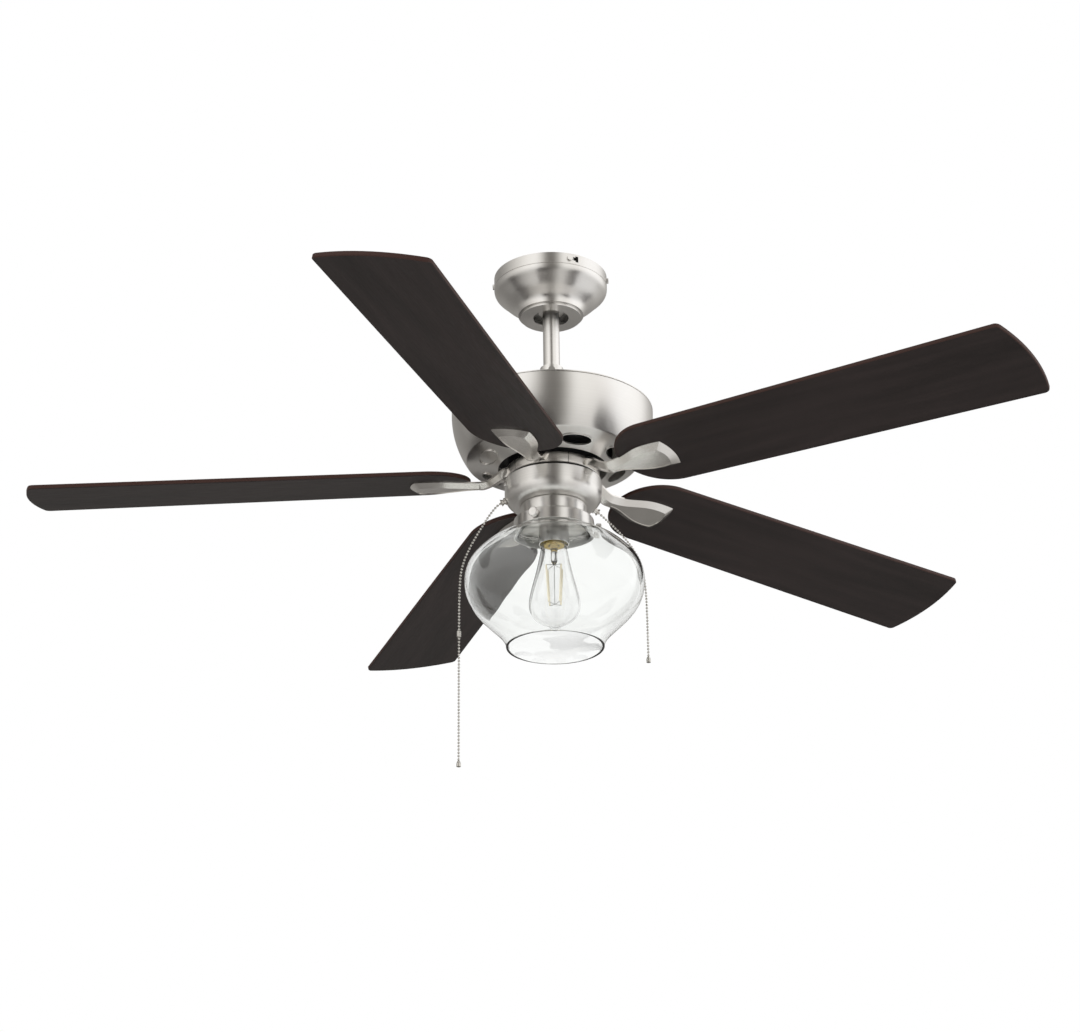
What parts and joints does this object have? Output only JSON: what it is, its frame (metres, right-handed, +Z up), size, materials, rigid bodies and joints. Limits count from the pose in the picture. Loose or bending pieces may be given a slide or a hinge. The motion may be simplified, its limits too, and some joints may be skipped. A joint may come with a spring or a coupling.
{
  "type": "ceiling fan with light",
  "caption": "Downrod ceiling fan with dark flared blades on bevelled cast irons, a vented motor bowl, pull chains and an open clear glass light.",
  "frame": {"origin": "middle of the two outlet-box screw slots, on the ceiling plane", "axes": "+Z up along the fan's axis, out of the ceiling plate; +X along the two screw slots"},
  "size_m": [1.2302, 1.2761, 0.6665],
  "materials": {
    "satin_nickel": "brushed satin nickel plate",
    "cast_nickel": "cast and satin nickel plated",
    "zinc_steel": "zinc plated, dull",
    "rod_steel": "drawn pipe, satin nickel plated",
    "black_steel": "black enamel",
    "lamination": "stacked electrical steel",
    "copper_coil": "enamelled copper wire",
    "walnut_board": "dark espresso veneer, satin",
    "switch_plastic": "moulded, matte",
    "socket_core": "insulating core with a brass screw shell",
    "lamp_brass": "pressed screw cap",
    "clear_glass": "clear blown glass",
    "lamp_clear": "thin clear glass",
    "filament": "cream coated filaments",
    "chain_nickel": "nickel plated bead chain"
  },
  "bodies": {
    "ceiling_mount": {"hanger_bracket": "zinc_steel", "canopy": "satin_nickel", "canopy_screws": "rod_steel"},
    "hanging_frame": {"hanger_ball": "rod_steel", "cross_pins": "rod_steel", "downrod": "rod_steel", "yoke": "rod_steel", "yoke_cover": "satin_nickel", "top_cover": "satin_nickel", "motor_housing": "satin_nickel", "housing_screws": "rod_steel", "motor_shaft": "zinc_steel", "stator_core": "lamination", "stator_windings": "copper_coil", "switch_plate": "zinc_steel", "shaft_nut": "zinc_steel", "switch_housing": "satin_nickel", "switch_housing_screws": "rod_steel", "fan_switch": "switch_plastic", "light_switch": "switch_plastic", "reverse_switch": "switch_plastic", "capacitor": "switch_plastic", "fan_chain_mouth": "cast_nickel", "light_chain_mouth": "cast_nickel", "neck_cap": "satin_nickel", "glass_fitter": "satin_nickel", "light_nipple": "zinc_steel", "lamp_socket": "satin_nickel", "socket_shell": "socket_core", "lamp_base": "lamp_brass", "lamp_glass": "lamp_clear", "lamp_filament": "filament", "glass_shade": "clear_glass"},
    "rotor": {"rotor_upper_shell": "black_steel", "rotor_lower_shell": "black_steel", "rotor_core": "lamination", "motor_bearings": "zinc_steel", "flywheel": "black_steel", "iron_screws": "zinc_steel", "blade_screws": "rod_steel", "blade_iron_1": "cast_nickel", "blade_iron_2": "cast_nickel", "blade_iron_3": "cast_nickel", "blade_iron_4": "cast_nickel", "blade_iron_5": "cast_nickel", "blade_1": "walnut_board", "blade_2": "walnut_board", "blade_3": "walnut_board", "blade_4": "walnut_board", "blade_5": "walnut_board"},
    "fan_pull": {"fan_chain": "chain_nickel", "fan_chain_join": "chain_nickel", "fan_chain_tail": "chain_nickel", "fan_chain_fob": "chain_nickel"},
    "light_pull": {"light_chain": "chain_nickel", "light_chain_fob": "chain_nickel"},
    "reverse_key": {"reverse_slider": "switch_plastic"},
    "thumb_screw_1_body": {"thumb_screw_1": "rod_steel"},
    "thumb_screw_2_body": {"thumb_screw_2": "rod_steel"},
    "thumb_screw_3_body": {"thumb_screw_3": "rod_steel"}
  },
  "joints": [
    {"name": "hanger_swing", "type": "hinge", "parent": "ceiling_mount", "child": "hanging_frame", "pos_m": [0, 0, -0.036], "axis": [0, 1, 0], "range_deg": [-18, 18]},
    {"name": "fan_spin", "type": "hinge", "parent": "hanging_frame", "child": "rotor", "pos_m": [0, 0, -0.28], "axis": [0, 0, 1], "continuous": true},
    {"name": "fan_chain_pull", "type": "slide", "parent": "hanging_frame", "child": "fan_pull", "axis": [-0.9063, 0, -0.4226], "range_m": [0, 0.008], "stiffness_N_per_m": 250, "springref_m": -0.003},
    {"name": "light_chain_pull", "type": "slide", "parent": "hanging_frame", "child": "light_pull", "axis": [0.7769, 0.4668, -0.4226], "range_m": [0, 0.008], "stiffness_N_per_m": 250, "springref_m": -0.003},
    {"name": "reverse_slide", "type": "slide", "parent": "hanging_frame", "child": "reverse_key", "axis": [0, 0, -1], "range_m": [0, 0.003]},
    {"name": "thumb_screw_1_turn", "type": "hinge", "parent": "hanging_frame", "child": "thumb_screw_1_body", "pos_m": [-0.02236, -0.04584, -0.3534], "axis": [-0.4384, -0.8988, 0], "range_deg": [0, 720]},
    {"name": "thumb_screw_2_turn", "type": "hinge", "parent": "hanging_frame", "child": "thumb_screw_2_body", "pos_m": [0.05088, 0.00356, -0.3534], "axis": [0.9976, 0.0698, 0], "range_deg": [0, 720]},
    {"name": "thumb_screw_3_turn", "type": "hinge", "parent": "hanging_frame", "child": "thumb_screw_3_body", "pos_m": [-0.02852, 0.04228, -0.3534], "axis": [-0.5592, 0.829, 0], "range_deg": [0, 720]}
  ]
}
